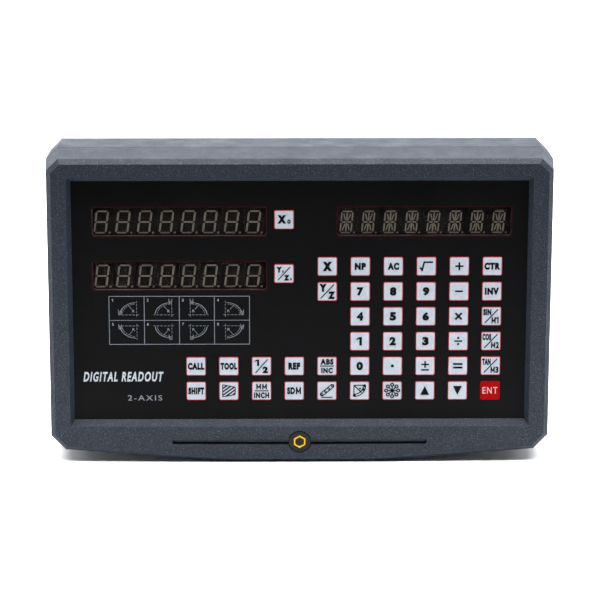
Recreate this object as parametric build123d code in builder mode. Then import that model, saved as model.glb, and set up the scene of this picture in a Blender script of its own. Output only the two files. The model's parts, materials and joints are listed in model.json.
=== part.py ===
from build123d import *
import os

os.makedirs("parts", exist_ok=True)

# Two-axis digital readout console: a moulded case in two halves with a recessed keypad panel.
# X runs along the case, Y from the front (-Y) to the back, Z up. The origin is under the
# middle of the case, on the plane it stands on. Depths are counted back from the front face.

# Case: both halves widen to the seam by the draft, at the sides and the top
case_width = 297.8
case_height = 187.3
case_depth = 53
draft = 1.3
case_wall = 2.8
bezel_depth = 25
front_wall = 5
rear_wall = 2.5
edge_bevel = 2.7
rear_round = 1.5
seam_bevel = 0.4
top_corner = 7
side_foot = 16.4
slope_corner = (139.1, 7.7)
foot_half = 46
foot_blend = 240

# Lip on the back cover that locates it in the bezel
lip_length = 3
lip_clearance = 0.15
lip_thickness = 1.4
lip_root = 0.5
lip_boss_gap = 0.4

# How far bosses and walls run into the wall they stand on
root = 1

# Panel opening, at the front face and at its floor, which is the keypad's surface
opening_front = (271.8, 152.6, 98.9)
opening_floor = (267.0, 146.4, 98.9)

# Keypad film and the plate behind it
film_thickness = 0.6
plate_thickness = 1.5
plate_depth = front_wall + film_thickness
plate_back = plate_depth + plate_thickness
panel_left, panel_right = -143, 143
panel_low, panel_high = 16, 180.5
corner_notches = [(-143, 180.5), (143, 180.5)]
notch_size = (15.2, 13.2)
foot_notches = [(-134.9, 16), (134.9, 16)]
foot_notch_size = (18, 7.6)
middle_notch_width = 10.8
panel_screw_places = [
    (-139.8, 45), (139.8, 45), (-139.8, 150), (139.8, 150),
    (-70, 177.8), (70, 177.8), (-70, 19.5), (70, 19.5),
]

# Keys
column_pitch = 19.36
row_pitch = 15.36
first_column = 16.15
first_row = 120.2
axis_key_x = -9.25
key_size = 11.5
key_corner = 1
key_gap = 0.1
key_proud = 0.3
key_flange = 13.2
key_flange_gap = 0.2
key_flange_thickness = 0.8
key_stem = 4
key_stem_length = 2.3
key_edge = 0.25
key_travel = 0.5
switch_size = 6
switch_height = 3.5
plunger_radius = 1.75

# Display windows and the modules behind them
window_size = (101.4, 17.1)
window_corner = 1.5
window_gap = 0.12
digit_window_x = -70.5
text_window_x = 72.75
upper_window_z = 147.4
lower_window_z = 114.5
digit_pitch = 12.7
digit_module = (12.6, 19)
digit_module_depth = 8
text_module = (25.3, 17.8)
display_depth = plate_back + 0.3

# Main board
board_width = 258
board_height = 140.5
board_centre = 98.75
board_thickness = 1.6
board_front = display_depth + digit_module_depth
board_back = board_front + board_thickness
board_corner = 2
board_screw_places = [(x, z) for x in (-124, 0, 124) for z in (32.5, 165)]
standoff_radius = 3

# Parts on the back of the main board: width, height, thickness and place
board_parts = [
    (14, 14, 1.6, (10, 120)), (10, 7.5, 2, (-25, 118)), (10, 7.5, 2, (40, 118)),
    (25, 6, 8.5, (-60, 60)), (20, 6, 8.5, (30, 60)), (20, 6, 8.5, (80, 60)),
    (10, 9, 4.5, (-95, 80)), (36, 8, 2.6, (-60, 145)), (36, 8, 2.6, (70, 145)),
]
board_capacitors = [(-80, 82), (-66, 82)]
board_capacitor = (4, 10)

# Screws: M3 x 5 for the panel, board and power supply, M3 x 16 for the case
thread_radius = 1.5
thread_clearance = 0.05
clearance_radius = 1.7
head_radius = 2.8
head_height = 2
head_round = 0.8
recess_size = (2.8, 0.7)
recess_depth = 1.2
short_screw = 5
thread_end_gap = 0.3
case_screw = 16
case_screw_places = [(-140.4, 179.1), (140.4, 179.1), (0, 179.1), (-132, 14), (132, 14), (0, 7)]
boss_radius = 4.6
boss_joint = bezel_depth
case_seat = 36
head_well_radius = 3.1

# Connector bay in the back cover
bay_width = 232
bay_height = 42
bay_centre = 43
bay_floor = 43
bay_wall = 2.5
bay_corner = 3

# Mains inlet with its rocker switch
inlet_x = -78
inlet_clearance = 0.3
inlet_corner = 2
inlet_flange = (51, 27)
inlet_flange_thickness = 2.2
inlet_body = (46.4, 21)
inlet_body_depth = 17.5
socket_x = inlet_x - 8.5
socket_size = (24.4, 16.6)
socket_depth = 15
socket_chamfer = 4.5
blade_size = (2, 4)
blade_spread = (7, 2)
blade_tip_depth = 5
terminal_size = (4.8, 0.8)
terminal_length = 6
switch_terminal_spread = 5
rocker_x = inlet_x + 14.2
rocker_well = (12.2, 17.2)
rocker_well_depth = 11
rocker_width = 11.5
rocker_pivot_depth = 43.2
rocker_tilt = 8
rocker_edge = 0.4
pivot_radius = 1.1
pivot_clearance = 0.15
pivot_reach = 1.1

# Scale sockets, nine-way D connectors
scale_socket_xs = (22, 78)
d_shell_width = 16.9
d_shell_height = 8.4
d_shell_length = 6
d_shell_angle = 80
d_shell_corner = 2
d_flange = (30.8, 12.5)
d_flange_thickness = 1
d_flange_corner = 1.5
d_body_depth = 8
d_body_grow = 1.4
d_cutout_grow = 1.7
jack_spacing = 25
jack_hex_radius = 2.75
jack_length = 4
jack_hole_radius = 1.25
contact_pitch = 2.77
contact_row = 1.42
contact_radius = 0.55

# Threaded bosses for the arm bracket, M5
bracket_spacing = (100, 50)
bracket_centre = 124
bracket_hole_radius = 2.5
bracket_hole_depth = 9
bracket_hole_floor = 2
bracket_boss_radius = 5.5

# Power supply board
supply_centre = (-94, 122)
supply_size = (62, 84)
supply_holes = (54, 76)
supply_standoff = 5

# Parts on the power supply: width, height, how tall, and place
supply_parts = [
    (25, 22, 18, (-94, 124)), (3, 30, 17, (-70, 118)), (16, 10, 12, (-94, 89)),
    (20, 8, 11, (-94, 155)), (17, 13, 14, (-108, 104)),
]
# Its capacitors: radius, how tall, and place
supply_capacitors = [(6, 16, (-112, 134)), (4, 14, (-80, 103))]

# Chin groove and badge
groove_half = 75.8
groove_z = 13
groove_end = 1.4
groove_middle = 1.75
groove_depth = 1.8
groove_round = 1.3
slit_height = 0.8
slit_inset = 1
slit_edge = 0.15
slit_depth = 3
badge_radius = 6.6
badge_recess_radius = 6.85
badge_recess_depth = 1.2
badge_thickness = 1.1
badge_edge = 0.5

# Column and row of each key on the grid; rows are counted down
key_cells = {
    "key_x": (0, 0), "key_np": (1, 0), "key_ac": (2, 0),
    "key_root": (3, 0), "key_plus": (4, 0), "key_ctr": (5, 0),
    "key_yz": (0, 1), "key_7": (1, 1), "key_8": (2, 1),
    "key_9": (3, 1), "key_minus": (4, 1), "key_inv": (5, 1),
    "key_4": (1, 2), "key_5": (2, 2), "key_6": (3, 2), "key_times": (4, 2), "key_sin": (5, 2),
    "key_1": (1, 3), "key_2": (2, 3), "key_3": (3, 3), "key_divide": (4, 3), "key_cos": (5, 3),
    "key_call": (-4, 4), "key_tool": (-3, 4), "key_half": (-2, 4), "key_ref": (-1, 4),
    "key_abs_inc": (0, 4), "key_0": (1, 4), "key_point": (2, 4), "key_plus_minus": (3, 4),
    "key_equals": (4, 4), "key_tan": (5, 4),
    "key_shift": (-4, 5), "key_taper": (-3, 5), "key_mm_inch": (-2, 5), "key_sdm": (-1, 5),
    "key_slope": (0, 5), "key_arc": (1, 5), "key_bolt_circle": (2, 5), "key_up": (3, 5),
    "key_down": (4, 5), "key_enter": (5, 5),
}
key_places = {
    name: (first_column + column * column_pitch, first_row - row * row_pitch)
    for name, (column, row) in key_cells.items()
}
key_places["key_x_zero"] = (axis_key_x, 148.7)
key_places["key_yz_zero"] = (axis_key_x, 115.9)

window_places = [
    (digit_window_x, upper_window_z),
    (digit_window_x, lower_window_z),
    (text_window_x, upper_window_z),
]


def behind(depth):
    # The upright plane at a depth behind the front face; extruding by a negative amount goes back
    return Plane.XZ.offset(case_depth / 2 - depth)


def case_outline(depth, inset=0, narrow=draft):
    # The case seen from the front: clipped corners and a belly that slopes up to both sides.
    # It is narrower than at the seam by the draft, unless another amount is given.
    half = case_width / 2 - narrow
    top = case_height - narrow
    right = [
        (foot_half, 0),
        slope_corner,
        (half, side_foot),
        (half, top - top_corner),
        (half - top_corner, top),
    ]
    left = [(-x, z) for x, z in reversed(right)]
    with BuildSketch(behind(depth)) as outline:
        with BuildLine():
            Polyline(*right, *left, close=True)
        make_face()
        fillet(outline.vertices().group_by(Axis.Y)[0], radius=foot_blend)
        if inset:
            offset(amount=-inset, kind=Kind.INTERSECTION)
    return outline.sketch


def lip_ring(depth, outer_inset):
    with BuildSketch(behind(depth)) as ring:
        add(case_outline(depth, outer_inset))
        add(case_outline(depth, case_wall + lip_clearance + lip_thickness), mode=Mode.SUBTRACT)
    return ring.sketch


def circles(depth, places, radius):
    with BuildSketch(behind(depth)) as discs:
        with Locations(*places):
            Circle(radius)
    return discs.sketch


def rectangle_at(depth, width, height, centre):
    with BuildSketch(behind(depth)) as face:
        with Locations(centre):
            Rectangle(width, height)
    return face.sketch


def panel_blank(depth):
    # Outline shared by the film and the plate, with every opening cut in both
    with BuildSketch(behind(depth)) as blank:
        with Locations((0, (panel_low + panel_high) / 2)):
            Rectangle(panel_right - panel_left, panel_high - panel_low)
        with Locations(*corner_notches):
            Rectangle(*notch_size, mode=Mode.SUBTRACT)
        with Locations(*foot_notches):
            Rectangle(*foot_notch_size, mode=Mode.SUBTRACT)
        with Locations((0, panel_high)):
            Rectangle(middle_notch_width, notch_size[1], mode=Mode.SUBTRACT)
        with Locations(*panel_screw_places):
            Circle(clearance_radius, mode=Mode.SUBTRACT)
        with Locations(*key_places.values()):
            RectangleRounded(
                key_size + 2 * key_gap, key_size + 2 * key_gap, key_corner + key_gap, mode=Mode.SUBTRACT
            )
        with Locations(*window_places):
            RectangleRounded(
                window_size[0] + 2 * window_gap, window_size[1] + 2 * window_gap,
                window_corner + window_gap, mode=Mode.SUBTRACT,
            )
    return blank.sketch


def d_shape(depth, x, grow=0):
    # The trapezoid with rounded corners that gives a D connector its name
    half_wide = d_shell_width / 2 + grow
    half_high = d_shell_height / 2 + grow
    with BuildSketch(behind(depth)) as shape:
        with Locations((x, bay_centre)):
            Trapezoid(2 * half_wide, 2 * half_high, d_shell_angle, rotation=180)
        fillet(shape.vertices(), radius=d_shell_corner)
    return shape.sketch


# Front bezel: the front frame and the forward half of the side walls
with BuildPart() as front_bezel:
    bezel_outlines = [
        case_outline(0, edge_bevel),
        case_outline(edge_bevel),
        case_outline(bezel_depth - seam_bevel, narrow=0),
        case_outline(bezel_depth, narrow=seam_bevel),
    ]
    loft(bezel_outlines, ruled=True)
    extrude(case_outline(front_wall, case_wall), amount=front_wall - bezel_depth, mode=Mode.SUBTRACT)
    extrude(circles(front_wall, case_screw_places, boss_radius), amount=front_wall - boss_joint)
    extrude(
        circles(case_seat - case_screw, case_screw_places, thread_radius + thread_clearance),
        amount=case_seat - case_screw - boss_joint, mode=Mode.SUBTRACT,
    )
    with BuildSketch(behind(0)):
        with Locations((0, opening_front[2])):
            Rectangle(opening_front[0], opening_front[1])
    with BuildSketch(behind(front_wall)):
        with Locations((0, opening_floor[2])):
            Rectangle(opening_floor[0], opening_floor[1])
    loft(mode=Mode.SUBTRACT)
    extrude(
        circles(front_wall, panel_screw_places, thread_radius + thread_clearance),
        amount=short_screw - film_thickness - plate_thickness + thread_end_gap, mode=Mode.SUBTRACT,
    )
    extrude(
        circles(0, [(0, groove_z)], badge_recess_radius), amount=-badge_recess_depth, mode=Mode.SUBTRACT
    )
    # Styling groove that widens towards the badge, with a narrow slit along its lower edge
    with BuildSketch(behind(0)) as groove:
        with BuildLine():
            Polyline(
                (-groove_half, groove_z - groove_end), (0, groove_z - groove_middle),
                (groove_half, groove_z - groove_end), (groove_half, groove_z + groove_end),
                (0, groove_z + groove_middle), (-groove_half, groove_z + groove_end), close=True,
            )
        make_face()
        fillet(groove.vertices().filter_by(lambda v: abs(v.X) > 1), radius=groove_round)
    extrude(amount=-groove_depth, mode=Mode.SUBTRACT)
    slit_end = groove_end - slit_edge
    slit_middle = groove_middle - slit_edge
    slit_half = groove_half - slit_inset
    with BuildSketch(behind(0)):
        with BuildLine():
            Polyline(
                (-slit_half, groove_z - slit_end), (0, groove_z - slit_middle),
                (slit_half, groove_z - slit_end), (slit_half, groove_z - slit_end + slit_height),
                (0, groove_z - slit_middle + slit_height),
                (-slit_half, groove_z - slit_end + slit_height), close=True,
            )
        make_face()
    extrude(amount=-slit_depth, mode=Mode.SUBTRACT)

front_bezel.part.label = "front_bezel"
export_step(front_bezel.part, "parts/front_bezel.step")


# Back cover: the rear half of the walls, the back, the connector bay and the bracket bosses
with BuildPart() as back_cover:
    cover_outlines = [
        case_outline(bezel_depth, narrow=seam_bevel),
        case_outline(bezel_depth + seam_bevel, narrow=0),
        case_outline(case_depth),
    ]
    loft(cover_outlines, ruled=True)
    fillet(back_cover.faces().sort_by(Axis.Y)[-1].edges(), radius=rear_round)
    extrude(
        case_outline(bezel_depth, case_wall),
        amount=bezel_depth - case_depth + rear_wall, mode=Mode.SUBTRACT,
    )
    extrude(lip_ring(bezel_depth, case_wall - lip_root), amount=-lip_length)
    extrude(lip_ring(bezel_depth - lip_length, case_wall + lip_clearance), amount=-lip_length)
    extrude(
        circles(bezel_depth - lip_length, case_screw_places, boss_radius + lip_boss_gap),
        amount=-lip_length, mode=Mode.SUBTRACT,
    )
    extrude(circles(boss_joint, case_screw_places, boss_radius), amount=boss_joint - case_depth + root)
    bay_back = bay_floor - bay_wall
    extrude(
        rectangle_at(bay_back, bay_width + 2 * bay_wall, bay_height + 2 * bay_wall, (0, bay_centre)),
        amount=bay_back - case_depth + root,
    )
    with BuildSketch(behind(bay_floor)):
        with Locations((0, bay_centre)):
            RectangleRounded(bay_width, bay_height, bay_corner)
    extrude(amount=bay_floor - case_depth, mode=Mode.SUBTRACT)
    # Screw wells from the back, with a clearance hole through the foot of each boss
    extrude(
        circles(case_seat, case_screw_places, head_well_radius),
        amount=case_seat - case_depth, mode=Mode.SUBTRACT,
    )
    extrude(
        circles(boss_joint, case_screw_places, clearance_radius),
        amount=boss_joint - case_seat, mode=Mode.SUBTRACT,
    )
    # Cut-outs for the inlet body and the two sockets
    inlet_hole = (inlet_body[0] + inlet_clearance, inlet_body[1] + inlet_clearance)
    extrude(
        rectangle_at(bay_back, *inlet_hole, (inlet_x, bay_centre)), amount=-bay_wall, mode=Mode.SUBTRACT
    )
    for socket_place in scale_socket_xs:
        jack_places = [(socket_place + side * jack_spacing / 2, bay_centre) for side in (-1, 1)]
        extrude(d_shape(bay_back, socket_place, d_cutout_grow), amount=-bay_wall, mode=Mode.SUBTRACT)
        extrude(circles(bay_back, jack_places, clearance_radius), amount=-bay_wall, mode=Mode.SUBTRACT)
    # Bracket bosses
    bracket_places = [
        (x * bracket_spacing[0] / 2, bracket_centre + z * bracket_spacing[1] / 2)
        for x in (-1, 1) for z in (-1, 1)
    ]
    bracket_boss_front = case_depth - bracket_hole_depth - bracket_hole_floor
    extrude(
        circles(bracket_boss_front, bracket_places, bracket_boss_radius),
        amount=bracket_boss_front - case_depth + root,
    )
    extrude(
        circles(case_depth - bracket_hole_depth, bracket_places, bracket_hole_radius),
        amount=-bracket_hole_depth, mode=Mode.SUBTRACT,
    )
    # Standoffs for the power supply
    supply_screw_places = [
        (supply_centre[0] + x * supply_holes[0] / 2, supply_centre[1] + z * supply_holes[1] / 2)
        for x in (-1, 1) for z in (-1, 1)
    ]
    supply_board_back = case_depth - rear_wall - supply_standoff
    extrude(circles(supply_board_back, supply_screw_places, standoff_radius), amount=-supply_standoff)
    extrude(
        circles(supply_board_back, supply_screw_places, thread_radius + thread_clearance),
        amount=board_thickness - short_screw, mode=Mode.SUBTRACT,
    )

back_cover.part.label = "back_cover"
export_step(back_cover.part, "parts/back_cover.step")


# Keypad film over the plate; both are held against the back of the bezel's front wall
with BuildPart() as front_overlay:
    extrude(panel_blank(front_wall), amount=-film_thickness)

front_overlay.part.label = "front_overlay"
export_step(front_overlay.part, "parts/front_overlay.step")


with BuildPart() as panel_plate:
    extrude(panel_blank(plate_depth), amount=-plate_thickness)

panel_plate.part.label = "panel_plate"
export_step(panel_plate.part, "parts/panel_plate.step")


# Smoked filter strips, flush with the film
with BuildPart() as display_windows:
    with BuildSketch(behind(front_wall)):
        with Locations(*window_places):
            RectangleRounded(*window_size, window_corner)
    extrude(amount=front_wall - plate_back)

display_windows.part.label = "display_windows"
export_step(display_windows.part, "parts/display_windows.step")


# Sixteen single-digit modules in two rows of eight
with BuildPart() as digit_displays:
    with BuildSketch(behind(display_depth)):
        for row_z in (upper_window_z, lower_window_z):
            with Locations((digit_window_x, row_z)):
                with GridLocations(digit_pitch, 1, 8, 1):
                    Rectangle(*digit_module)
    extrude(amount=-digit_module_depth)

digit_displays.part.label = "digit_displays"
export_step(digit_displays.part, "parts/digit_displays.step")


# Four two-character alphanumeric modules
with BuildPart() as text_display:
    with BuildSketch(behind(display_depth)):
        with Locations((text_window_x, upper_window_z)):
            with GridLocations(2 * digit_pitch, 1, 4, 1):
                Rectangle(*text_module)
    extrude(amount=-digit_module_depth)

text_display.part.label = "text_display"
export_step(text_display.part, "parts/text_display.step")


# Main board with its processor, sockets and regulator on the back
with BuildPart() as main_board:
    with BuildSketch(behind(board_front)):
        with Locations((0, board_centre)):
            RectangleRounded(board_width, board_height, board_corner)
        with Locations(*board_screw_places):
            Circle(clearance_radius, mode=Mode.SUBTRACT)
    extrude(amount=-board_thickness)
    for width, height, thickness, place in board_parts:
        extrude(rectangle_at(board_back, width, height, place), amount=-thickness)
    extrude(circles(board_back, board_capacitors, board_capacitor[0]), amount=-board_capacitor[1])

main_board.part.label = "main_board"
export_step(main_board.part, "parts/main_board.step")


# One tactile switch behind each key, its plunger at pressed height
key_rest_back = plate_back + key_flange_gap + key_flange_thickness + key_stem_length
switch_front = board_front - switch_height
plunger_tip = key_rest_back + key_travel
with BuildPart() as key_switches:
    with BuildSketch(behind(switch_front)):
        with Locations(*key_places.values()):
            Rectangle(switch_size, switch_size)
    extrude(amount=-switch_height)
    extrude(circles(plunger_tip, key_places.values(), plunger_radius), amount=plunger_tip - switch_front)

key_switches.part.label = "key_switches"
export_step(key_switches.part, "parts/key_switches.step")


# Open-frame power supply: board, transformer, capacitors, heat sink and terminal block
supply_front = supply_board_back - board_thickness
with BuildPart() as power_supply:
    with BuildSketch(behind(supply_front)):
        with Locations(supply_centre):
            RectangleRounded(*supply_size, board_corner)
        with Locations(*supply_screw_places):
            Circle(clearance_radius, mode=Mode.SUBTRACT)
    extrude(amount=-board_thickness)
    for width, height, tall, place in supply_parts:
        extrude(rectangle_at(supply_front - tall, width, height, place), amount=-tall)
    for radius, tall, place in supply_capacitors:
        extrude(circles(supply_front - tall, [place], radius), amount=-tall)

power_supply.part.label = "power_supply"
export_step(power_supply.part, "parts/power_supply.step")


# Mains inlet and rocker housing in one moulding, with three blades in the socket
inlet_face = bay_floor + inlet_flange_thickness
pivot_y = rocker_pivot_depth - case_depth / 2
with BuildPart() as power_inlet:
    with BuildSketch(behind(bay_floor)):
        with Locations((inlet_x, bay_centre)):
            RectangleRounded(*inlet_flange, inlet_corner)
    extrude(amount=-inlet_flange_thickness)
    extrude(
        rectangle_at(bay_floor - inlet_body_depth, *inlet_body, (inlet_x, bay_centre)),
        amount=-inlet_body_depth,
    )
    with BuildSketch(behind(inlet_face - socket_depth)) as socket:
        with Locations((socket_x, bay_centre)):
            Rectangle(*socket_size)
        chamfer(socket.vertices().group_by(Axis.Y)[-1], length=socket_chamfer)
    extrude(amount=-socket_depth, mode=Mode.SUBTRACT)
    extrude(
        rectangle_at(inlet_face - rocker_well_depth, *rocker_well, (rocker_x, bay_centre)),
        amount=-rocker_well_depth, mode=Mode.SUBTRACT,
    )
    # Bearing holes for the rocker's pins
    with BuildSketch(Plane.YZ.offset(rocker_x)):
        with Locations((pivot_y, bay_centre)):
            Circle(pivot_radius + pivot_clearance)
    extrude(
        amount=rocker_width / 2 + pivot_reach + 2 * pivot_clearance, both=True, mode=Mode.SUBTRACT
    )
    blade_places = [
        (socket_x - blade_spread[0], bay_centre - blade_spread[1]),
        (socket_x + blade_spread[0], bay_centre - blade_spread[1]),
        (socket_x, bay_centre + blade_spread[1]),
    ]
    with BuildSketch(behind(inlet_face - socket_depth)):
        with Locations(*blade_places):
            Rectangle(*blade_size)
    extrude(amount=blade_tip_depth - socket_depth)
    switch_terminals = [(rocker_x, bay_centre + side * switch_terminal_spread) for side in (-1, 1)]
    with BuildSketch(behind(bay_floor - inlet_body_depth - terminal_length)):
        with Locations(*blade_places, *switch_terminals):
            Rectangle(*terminal_size)
    extrude(amount=-terminal_length)

power_inlet.part.label = "power_inlet"
export_step(power_inlet.part, "parts/power_inlet.step")


# Rocker with its pivot pins, drawn level and then tipped to its off position
pivot = Axis((rocker_x, pivot_y, bay_centre), (1, 0, 0))
with BuildPart() as power_rocker:
    with BuildSketch(Plane.YZ.offset(rocker_x)):
        with Locations((pivot_y, bay_centre)):
            Polygon(
                (3.2, -7.6), (1.2, 0), (3.2, 7.6), (-1.5, 7.6), (-5, 4), (-5, -4), (-1.5, -7.6), align=None
            )
    extrude(amount=rocker_width / 2, both=True)
    fillet(power_rocker.faces().sort_by(Axis.X)[0].edges(), radius=rocker_edge)
    fillet(power_rocker.faces().sort_by(Axis.X)[-1].edges(), radius=rocker_edge)
    with BuildSketch(Plane.YZ.offset(rocker_x)):
        with Locations((pivot_y, bay_centre)):
            Circle(pivot_radius)
    extrude(amount=rocker_width / 2 + pivot_reach, both=True)
power_rocker.part = power_rocker.part.rotate(pivot, rocker_tilt)

power_rocker.part.label = "power_rocker"
export_step(power_rocker.part, "parts/power_rocker.step")


# Two nine-way D sockets with their jack screws
with BuildPart() as scale_sockets:
    flange_back = bay_floor + d_flange_thickness
    for place in scale_socket_xs:
        with BuildSketch(behind(bay_floor)):
            with Locations((place, bay_centre)):
                RectangleRounded(*d_flange, d_flange_corner)
        extrude(amount=-d_flange_thickness)
        extrude(d_shape(flange_back, place), amount=d_flange_thickness - d_shell_length)
        extrude(d_shape(bay_floor - d_body_depth, place, d_body_grow), amount=-d_body_depth)
        jacks = [(place + side * jack_spacing / 2, bay_centre) for side in (-1, 1)]
        with BuildSketch(behind(flange_back)):
            with Locations(*jacks):
                RegularPolygon(jack_hex_radius, 6)
        extrude(amount=-jack_length)
        extrude(circles(bay_floor - short_screw, jacks, thread_radius), amount=-short_screw)
        extrude(circles(flange_back, jacks, jack_hole_radius), amount=-jack_length, mode=Mode.SUBTRACT)
        contacts = [(place + (i - 2) * contact_pitch, bay_centre + contact_row) for i in range(5)]
        contacts += [(place + (i - 1.5) * contact_pitch, bay_centre - contact_row) for i in range(4)]
        extrude(
            circles(flange_back, contacts, contact_radius),
            amount=d_flange_thickness - d_shell_length, mode=Mode.SUBTRACT,
        )

scale_sockets.part.label = "scale_sockets"
export_step(scale_sockets.part, "parts/scale_sockets.step")


def pan_screws(seat, places, length, direction):
    # Pan-head screws seated at a depth, with a cross recess; the direction is that of the head
    with BuildPart() as screws:
        extrude(circles(seat, places, head_radius), amount=-direction * head_height)
        extrude(circles(seat, places, thread_radius), amount=direction * length)
        rim = seat + direction * head_height
        rim_y = rim - case_depth / 2
        fillet(screws.edges().filter_by_position(Axis.Y, rim_y, rim_y), radius=head_round)
        with BuildSketch(behind(rim)):
            with Locations(*places):
                Rectangle(*recess_size)
                Rectangle(*reversed(recess_size))
        extrude(amount=direction * recess_depth, mode=Mode.SUBTRACT)
    return screws.part


# Six case screws, sunk in their wells
with BuildPart() as case_screws:
    add(pan_screws(case_seat, case_screw_places, case_screw, 1))

case_screws.part.label = "case_screws"
export_step(case_screws.part, "parts/case_screws.step")


# Threaded pillars between the plate and the board, then the short screws of the plate, board and supply
with BuildPart() as panel_fasteners:
    extrude(circles(plate_back, board_screw_places, standoff_radius), amount=plate_back - board_front)
    extrude(
        circles(board_back - short_screw, board_screw_places, thread_radius + thread_clearance),
        amount=board_thickness - short_screw, mode=Mode.SUBTRACT,
    )
    add(pan_screws(plate_back, panel_screw_places, short_screw, 1))
    add(pan_screws(board_back, board_screw_places, short_screw, 1))
    add(pan_screws(supply_front, supply_screw_places, short_screw, -1))

panel_fasteners.part.label = "panel_fasteners"
export_step(panel_fasteners.part, "parts/panel_fasteners.step")


# Round badge in the chin
with BuildPart() as chin_badge:
    extrude(
        circles(badge_recess_depth - badge_thickness, [(0, groove_z)], badge_radius),
        amount=-badge_thickness,
    )
    fillet(chin_badge.edges().sort_by(Axis.Y)[0], radius=badge_edge)

chin_badge.part.label = "chin_badge"
export_step(chin_badge.part, "parts/chin_badge.step")


def key_at(name, place):
    # A square cap through the film and plate, a flange that keeps it in, and a stem to its switch
    flange_front = plate_back + key_flange_gap
    with BuildPart() as key:
        with BuildSketch(behind(front_wall - key_proud)):
            with Locations(place):
                RectangleRounded(key_size, key_size, key_corner)
        extrude(amount=front_wall - key_proud - flange_front)
        fillet(key.faces().sort_by(Axis.Y)[0].edges(), radius=key_edge)
        with BuildSketch(behind(flange_front)):
            with Locations(place):
                RectangleRounded(key_flange, key_flange, key_corner)
        extrude(amount=-key_flange_thickness)
        extrude(
            rectangle_at(flange_front + key_flange_thickness, key_stem, key_stem, place),
            amount=flange_front + key_flange_thickness - key_rest_back,
        )
    key.part.label = name
    export_step(key.part, f"parts/{name}.step")


for key_name, key_place in key_places.items():
    key_at(key_name, key_place)
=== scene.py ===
import json
from math import atan2, cos, hypot, pi, radians, sin, tan

import bmesh
import bpy
from mathutils import Matrix, Vector


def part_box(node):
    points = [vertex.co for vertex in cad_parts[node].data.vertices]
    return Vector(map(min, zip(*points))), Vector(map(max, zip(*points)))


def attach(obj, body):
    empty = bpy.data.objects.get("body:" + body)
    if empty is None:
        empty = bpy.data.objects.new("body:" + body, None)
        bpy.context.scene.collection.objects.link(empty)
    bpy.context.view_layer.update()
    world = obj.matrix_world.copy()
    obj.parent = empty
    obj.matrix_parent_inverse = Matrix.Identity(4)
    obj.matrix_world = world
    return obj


# Two-axis digital readout console for a milling machine.
# Drawings are made flat in millimetres, x right and y up, and then stood up on the part they belong to.

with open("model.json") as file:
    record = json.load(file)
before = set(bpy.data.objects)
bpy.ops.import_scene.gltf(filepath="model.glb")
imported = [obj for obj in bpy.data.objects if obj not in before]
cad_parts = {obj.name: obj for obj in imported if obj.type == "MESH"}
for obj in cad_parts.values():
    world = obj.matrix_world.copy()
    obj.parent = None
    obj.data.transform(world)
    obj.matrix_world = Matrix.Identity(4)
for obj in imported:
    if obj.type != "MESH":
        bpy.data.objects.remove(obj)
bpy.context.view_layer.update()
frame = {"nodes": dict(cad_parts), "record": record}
nodes = frame["nodes"]
mm = 0.001
print("frame loaded:", len(nodes), "nodes")


def linear(hexColour):
    # sRGB hex to linear red, green, blue and alpha
    channels = [int(hexColour[i:i + 2], 16) / 255 for i in (1, 3, 5)]
    return tuple(c / 12.92 if c <= 0.04045 else ((c + 0.055) / 1.055) ** 2.4 for c in channels) + (1.0,)


def addNode(tree, kind, settings=None, values=None, links=None):
    # one shader node with its settings, its socket values and what feeds it
    node = tree.nodes.new(kind)
    for name, value in (settings or {}).items():
        setattr(node, name, value)
    for name, value in (values or {}).items():
        node.inputs[name].default_value = value
    for name, source in (links or {}).items():
        tree.links.new(source, node.inputs[name])
    return node


def newMaterial(name, shaderValues):
    material = bpy.data.materials.new(name)
    material.use_nodes = True
    tree = material.node_tree
    shader = tree.nodes["Principled BSDF"]
    for socket, value in shaderValues.items():
        shader.inputs[socket].default_value = value
    place = addNode(tree, "ShaderNodeTexCoord").outputs["Object"]
    return material, tree, shader, place


def mottle(tree, shader, place, darkHex, lightHex, size, low=0.35, high=0.65):
    # two close tones of the base colour in soft patches of the given size in metres
    noise = addNode(
        tree, "ShaderNodeTexNoise", values={"Scale": 1 / size, "Detail": 3.0}, links={"Vector": place}
    )
    ramp = addNode(tree, "ShaderNodeValToRGB", links={"Fac": noise.outputs["Fac"]})
    ramp.color_ramp.elements[0].position = low
    ramp.color_ramp.elements[1].position = high
    ramp.color_ramp.elements[0].color = linear(darkHex)
    ramp.color_ramp.elements[1].color = linear(lightHex)
    tree.links.new(ramp.outputs["Color"], shader.inputs["Base Color"])


def grainBump(tree, shader, place, size, height):
    # fine raised grain, its size and height in metres
    noise = addNode(
        tree, "ShaderNodeTexNoise", values={"Scale": 1 / size, "Detail": 2.0}, links={"Vector": place}
    )
    bump = addNode(
        tree, "ShaderNodeBump", values={"Strength": 1.0, "Distance": height},
        links={"Height": noise.outputs["Fac"]},
    )
    tree.links.new(bump.outputs["Normal"], shader.inputs["Normal"])


def wornRoughness(tree, shader, place, size, low, high):
    # roughness that drifts between two values in patches of the given size
    noise = addNode(
        tree, "ShaderNodeTexNoise", values={"Scale": 1 / size, "Detail": 4.0}, links={"Vector": place}
    )
    spread = addNode(
        tree, "ShaderNodeMapRange",
        values={"From Min": 0.3, "From Max": 0.7, "To Min": low, "To Max": high},
        links={"Value": noise.outputs["Fac"]},
    )
    tree.links.new(spread.outputs["Result"], shader.inputs["Roughness"])


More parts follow.
